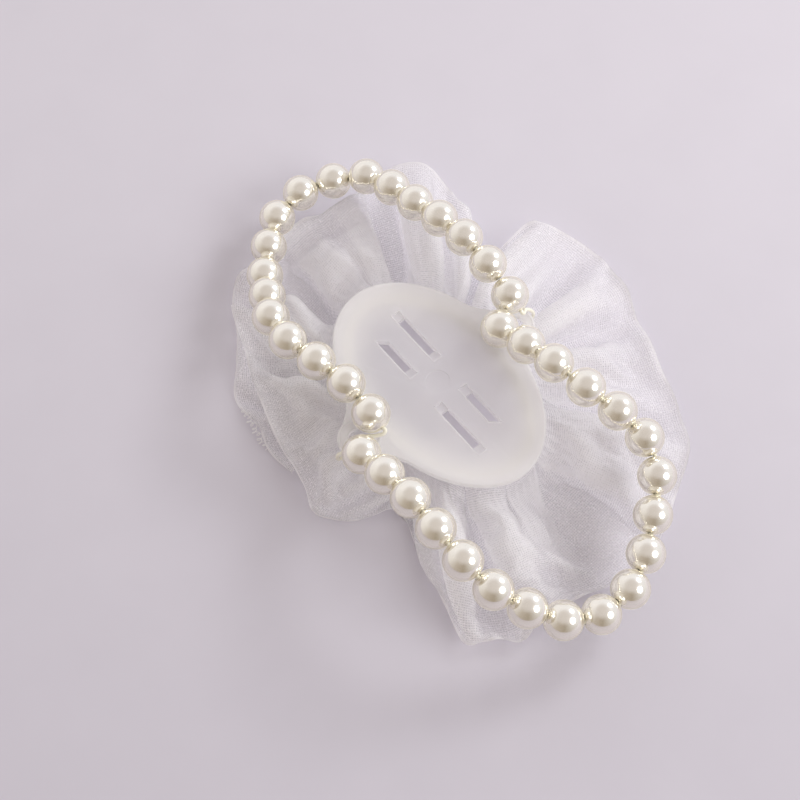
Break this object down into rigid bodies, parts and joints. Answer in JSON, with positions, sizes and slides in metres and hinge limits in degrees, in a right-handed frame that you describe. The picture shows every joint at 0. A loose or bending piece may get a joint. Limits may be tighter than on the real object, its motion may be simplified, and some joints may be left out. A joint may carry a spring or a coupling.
{
  "type": "wrist corsage",
  "caption": "Wrist corsage base: oval plastic plate with two ears, gathered organza ruffle on its flower side and a stretch bracelet of pearls that loops to both sides.",
  "frame": {"origin": "middle of the plate's flower-side face", "axes": "+Z towards the wrist, +X along the plate's long axis towards strand B, +Y from ear 1 to ear 2"},
  "size_m": [0.1246, 0.0872, 0.0288],
  "materials": {
    "plate": "frosted, translucent",
    "pearl": "cream pearlescent lacquer",
    "elastic": "clear ivory stretch cord",
    "organza": "sheer woven organza",
    "thread": "white sewing thread",
    "glue": "hot-melt glue, milky"
  },
  "bodies": {
    "base": {"base_plate": "plate", "glue_band": "glue", "organza_ruffle": "organza", "gathering_thread": "thread", "elastic_ear_1": "elastic", "elastic_ear_2": "elastic", "elastic_knot": "elastic"},
    "strand_a": {"elastic_strand_a": "elastic"},
    "strand_b": {"elastic_strand_b": "elastic"},
    "pearl_a01": {"pearl_a01": "pearl"},
    "pearl_a02": {"pearl_a02": "pearl"},
    "pearl_a03": {"pearl_a03": "pearl"},
    "pearl_a04": {"pearl_a04": "pearl"},
    "pearl_a05": {"pearl_a05": "pearl"},
    "pearl_a06": {"pearl_a06": "pearl"},
    "pearl_a07": {"pearl_a07": "pearl"},
    "pearl_a08": {"pearl_a08": "pearl"},
    "pearl_a09": {"pearl_a09": "pearl"},
    "pearl_a10": {"pearl_a10": "pearl"},
    "pearl_a11": {"pearl_a11": "pearl"},
    "pearl_a12": {"pearl_a12": "pearl"},
    "pearl_a13": {"pearl_a13": "pearl"},
    "pearl_a14": {"pearl_a14": "pearl"},
    "pearl_a15": {"pearl_a15": "pearl"},
    "pearl_a16": {"pearl_a16": "pearl"},
    "pearl_a17": {"pearl_a17": "pearl"},
    "pearl_a18": {"pearl_a18": "pearl"},
    "pearl_b01": {"pearl_b01": "pearl"},
    "pearl_b02": {"pearl_b02": "pearl"},
    "pearl_b03": {"pearl_b03": "pearl"},
    "pearl_b04": {"pearl_b04": "pearl"},
    "pearl_b05": {"pearl_b05": "pearl"},
    "pearl_b06": {"pearl_b06": "pearl"},
    "pearl_b07": {"pearl_b07": "pearl"},
    "pearl_b08": {"pearl_b08": "pearl"},
    "pearl_b09": {"pearl_b09": "pearl"},
    "pearl_b10": {"pearl_b10": "pearl"},
    "pearl_b11": {"pearl_b11": "pearl"},
    "pearl_b12": {"pearl_b12": "pearl"},
    "pearl_b13": {"pearl_b13": "pearl"},
    "pearl_b14": {"pearl_b14": "pearl"},
    "pearl_b15": {"pearl_b15": "pearl"},
    "pearl_b16": {"pearl_b16": "pearl"},
    "pearl_b17": {"pearl_b17": "pearl"},
    "pearl_b18": {"pearl_b18": "pearl"},
    "pearl_b19": {"pearl_b19": "pearl"}
  },
  "joints": [
    {"name": "bracelet_a_swing", "type": "hinge", "parent": "base", "child": "strand_a", "pos_m": [-0.00114, -0.01684, 0.006], "axis": [-0.0787, 0.9969, 0], "range_deg": [0, 85]},
    {"name": "bracelet_b_swing", "type": "hinge", "parent": "base", "child": "strand_b", "pos_m": [0.00045, 0.01623, 0.006], "axis": [0.1073, -0.9942, 0], "range_deg": [0, 85]},
    {"name": "pearl_a01_spin", "type": "hinge", "parent": "base", "child": "pearl_a01", "pos_m": [-0.00114, -0.01684, 0.006], "axis": [-0.9889, 0.0005, 0.1484], "continuous": true},
    {"name": "pearl_a02_spin", "type": "hinge", "parent": "strand_a", "child": "pearl_a02", "pos_m": [-0.00917, -0.01684, 0.0072], "axis": [-0.9932, -0.0935, 0.0688], "continuous": true},
    {"name": "pearl_a03_spin", "type": "hinge", "parent": "strand_a", "child": "pearl_a03", "pos_m": [-0.01715, -0.01835, 0.00711], "axis": [-0.9832, -0.1741, -0.0542], "continuous": true},
    {"name": "pearl_a04_spin", "type": "hinge", "parent": "strand_a", "child": "pearl_a04", "pos_m": [-0.02512, -0.01966, 0.00632], "axis": [-0.9833, -0.0077, -0.1816], "continuous": true},
    {"name": "pearl_a05_spin", "type": "hinge", "parent": "strand_a", "child": "pearl_a05", "pos_m": [-0.03287, -0.01847, 0.00421], "axis": [-0.889, 0.2996, -0.3462], "continuous": true},
    {"name": "pearl_a06_spin", "type": "hinge", "parent": "strand_a", "child": "pearl_a06", "pos_m": [-0.0393, -0.01488, 0.0008], "axis": [-0.7852, 0.4528, -0.4225], "continuous": true},
    {"name": "pearl_a07_spin", "type": "hinge", "parent": "strand_a", "child": "pearl_a07", "pos_m": [-0.04562, -0.01112, -0.00265], "axis": [-0.7679, 0.5771, -0.2781], "continuous": true},
    {"name": "pearl_a08_spin", "type": "hinge", "parent": "strand_a", "child": "pearl_a08", "pos_m": [-0.05156, -0.00567, -0.00364], "axis": [-0.6864, 0.7219, -0.0876], "continuous": true},
    {"name": "pearl_a09_spin", "type": "hinge", "parent": "strand_a", "child": "pearl_a09", "pos_m": [-0.05673, 0.00057, -0.00407], "axis": [-0.4347, 0.9005, 0.0106], "continuous": true},
    {"name": "pearl_a10_spin", "type": "hinge", "parent": "strand_a", "child": "pearl_a10", "pos_m": [-0.0584, 0.0085, -0.00347], "axis": [0.0179, 0.9995, 0.0241], "continuous": true},
    {"name": "pearl_a11_spin", "type": "hinge", "parent": "strand_a", "child": "pearl_a11", "pos_m": [-0.05645, 0.01638, -0.00369], "axis": [0.4784, 0.8614, 0.1704], "continuous": true},
    {"name": "pearl_a12_spin", "type": "hinge", "parent": "strand_a", "child": "pearl_a12", "pos_m": [-0.05105, 0.02173, -0.00085], "axis": [0.8272, 0.4284, 0.3637], "continuous": true},
    {"name": "pearl_a13_spin", "type": "hinge", "parent": "strand_a", "child": "pearl_a13", "pos_m": [-0.04355, 0.02305, 0.00198], "axis": [0.9382, 0.1, 0.3313], "continuous": true},
    {"name": "pearl_a14_spin", "type": "hinge", "parent": "strand_a", "child": "pearl_a14", "pos_m": [-0.03585, 0.02335, 0.00452], "axis": [0.952, 0.0445, 0.303], "continuous": true},
    {"name": "pearl_a15_spin", "type": "hinge", "parent": "strand_a", "child": "pearl_a15", "pos_m": [-0.02809, 0.02378, 0.0069], "axis": [0.9663, 0.0368, 0.2546], "continuous": true},
    {"name": "pearl_a16_spin", "type": "hinge", "parent": "strand_a", "child": "pearl_a16", "pos_m": [-0.02017, 0.02395, 0.00865], "axis": [0.9957, -0.0087, 0.0921], "continuous": true},
    {"name": "pearl_a17_spin", "type": "hinge", "parent": "strand_a", "child": "pearl_a17", "pos_m": [-0.01206, 0.02364, 0.00838], "axis": [0.9854, -0.043, -0.1645], "continuous": true},
    {"name": "pearl_a18_spin", "type": "hinge", "parent": "base", "child": "pearl_a18", "pos_m": [-0.0043, 0.02326, 0.006], "axis": [0.9549, -0.047, -0.2933], "continuous": true},
    {"name": "pearl_b01_spin", "type": "hinge", "parent": "base", "child": "pearl_b01", "pos_m": [0.00045, 0.01623, 0.006], "axis": [0.9248, 0.052, 0.3769], "continuous": true},
    {"name": "pearl_b02_spin", "type": "hinge", "parent": "strand_b", "child": "pearl_b02", "pos_m": [0.00796, 0.01665, 0.00906], "axis": [0.9359, 0.0562, 0.3477], "continuous": true},
    {"name": "pearl_b03_spin", "type": "hinge", "parent": "strand_b", "child": "pearl_b03", "pos_m": [0.01564, 0.01714, 0.01164], "axis": [0.9844, 0.1286, 0.1198], "continuous": true},
    {"name": "pearl_b04_spin", "type": "hinge", "parent": "strand_b", "child": "pearl_b04", "pos_m": [0.02358, 0.01869, 0.01096], "axis": [0.9333, 0.2658, -0.2416], "continuous": true},
    {"name": "pearl_b05_spin", "type": "hinge", "parent": "strand_b", "child": "pearl_b05", "pos_m": [0.03055, 0.02139, 0.00778], "axis": [0.8436, 0.288, -0.4532], "continuous": true},
    {"name": "pearl_b06_spin", "type": "hinge", "parent": "strand_b", "child": "pearl_b06", "pos_m": [0.03724, 0.02336, 0.00362], "axis": [0.898, -0.0557, -0.4365], "continuous": true},
    {"name": "pearl_b07_spin", "type": "hinge", "parent": "strand_b", "child": "pearl_b07", "pos_m": [0.0444, 0.02053, 0.00105], "axis": [0.7902, -0.554, -0.2619], "continuous": true},
    {"name": "pearl_b08_spin", "type": "hinge", "parent": "strand_b", "child": "pearl_b08", "pos_m": [0.04973, 0.0146, -0.00052], "axis": [0.631, -0.7568, -0.1702], "continuous": true},
    {"name": "pearl_b09_spin", "type": "hinge", "parent": "strand_b", "child": "pearl_b09", "pos_m": [0.05464, 0.00825, -0.00171], "axis": [0.5172, -0.8509, -0.0923], "continuous": true},
    {"name": "pearl_b10_spin", "type": "hinge", "parent": "strand_b", "child": "pearl_b10", "pos_m": [0.05806, 0.00089, -0.002], "axis": [0.2344, -0.9721, 0.0097], "continuous": true},
    {"name": "pearl_b11_spin", "type": "hinge", "parent": "strand_b", "child": "pearl_b11", "pos_m": [0.05837, -0.00721, -0.00156], "axis": [-0.1981, -0.9681, 0.1536], "continuous": true},
    {"name": "pearl_b12_spin", "type": "hinge", "parent": "strand_b", "child": "pearl_b12", "pos_m": [0.05495, -0.01431, 0.00041], "axis": [-0.5589, -0.7512, 0.351], "continuous": true},
    {"name": "pearl_b13_spin", "type": "hinge", "parent": "strand_b", "child": "pearl_b13", "pos_m": [0.0495, -0.01913, 0.00401], "axis": [-0.7091, -0.5264, 0.4691], "continuous": true},
    {"name": "pearl_b14_spin", "type": "hinge", "parent": "strand_b", "child": "pearl_b14", "pos_m": [0.04347, -0.02283, 0.008], "axis": [-0.825, -0.3291, 0.4595], "continuous": true},
    {"name": "pearl_b15_spin", "type": "hinge", "parent": "strand_b", "child": "pearl_b15", "pos_m": [0.03626, -0.02441, 0.01139], "axis": [-0.9649, -0.0962, 0.2444], "continuous": true},
    {"name": "pearl_b16_spin", "type": "hinge", "parent": "strand_b", "child": "pearl_b16", "pos_m": [0.02816, -0.02436, 0.01188], "axis": [-0.9996, 0.028, 0.0035], "continuous": true},
    {"name": "pearl_b17_spin", "type": "hinge", "parent": "strand_b", "child": "pearl_b17", "pos_m": [0.02006, -0.02396, 0.01144], "axis": [-0.9857, 0.0182, -0.1673], "continuous": true},
    {"name": "pearl_b18_spin", "type": "hinge", "parent": "strand_b", "child": "pearl_b18", "pos_m": [0.01226, -0.02406, 0.00918], "axis": [-0.9419, -0.0042, -0.3357], "continuous": true},
    {"name": "pearl_b19_spin", "type": "hinge", "parent": "base", "child": "pearl_b19", "pos_m": [0.00479, -0.02403, 0.006], "axis": [-0.92, 0.0044, -0.392], "continuous": true}
  ]
}
